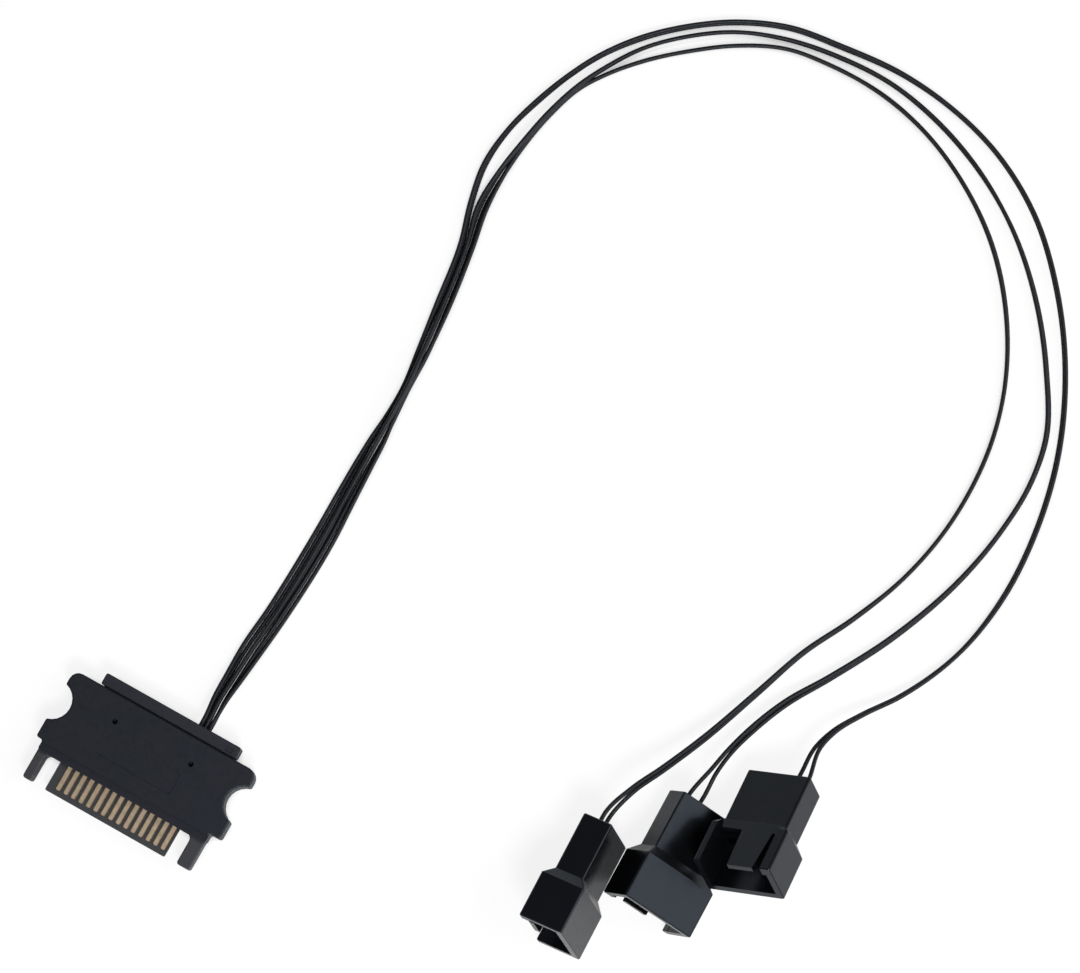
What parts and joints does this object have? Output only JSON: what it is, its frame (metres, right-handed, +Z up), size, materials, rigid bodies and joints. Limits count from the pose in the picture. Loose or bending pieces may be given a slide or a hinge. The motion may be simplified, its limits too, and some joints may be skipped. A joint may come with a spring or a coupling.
{
  "type": "fan power adapter cable",
  "caption": "Black fan power cable: a flat drive power plug with blade contacts, and thin paired wires in a long loop to fan connector housings.",
  "frame": {"origin": "centre of the plug's flat base, on the floor", "axes": "+X along the contact row, left to right as in the picture; -Y is the plug's mating direction; +Z up"},
  "size_m": [0.1151, 0.1575, 0.0196],
  "materials": {
    "plug_black": "satin moulded plastic",
    "cover_black": "satin moulded plastic",
    "contact_gold": "gold-plated, slightly dull",
    "housing_black": "moulded nylon, semi-gloss",
    "terminal_tin": "tin-plated",
    "wire_black": "smooth PVC insulation"
  },
  "bodies": {
    "root": {"plug_body": "plug_black", "plug_rear_cover": "cover_black", "contact_01": "contact_gold", "contact_02": "contact_gold", "contact_03": "contact_gold", "contact_04": "contact_gold", "contact_05": "contact_gold", "contact_06": "contact_gold", "contact_07": "contact_gold", "contact_08": "contact_gold", "contact_09": "contact_gold", "contact_10": "contact_gold", "contact_11": "contact_gold", "contact_12": "contact_gold", "contact_13": "contact_gold", "contact_14": "contact_gold", "contact_15": "contact_gold", "fan_housing_inner": "housing_black", "fan_housing_middle": "housing_black", "fan_housing_outer": "housing_black", "ground_terminal_inner": "terminal_tin", "ground_terminal_middle": "terminal_tin", "ground_terminal_outer": "terminal_tin", "power_terminal_inner": "terminal_tin", "power_terminal_middle": "terminal_tin", "power_terminal_outer": "terminal_tin", "ground_wire_inner": "wire_black", "ground_wire_middle": "wire_black", "ground_wire_outer": "wire_black", "power_wire_inner": "wire_black", "power_wire_middle": "wire_black", "power_wire_outer": "wire_black"}
  },
  "joints": []
}
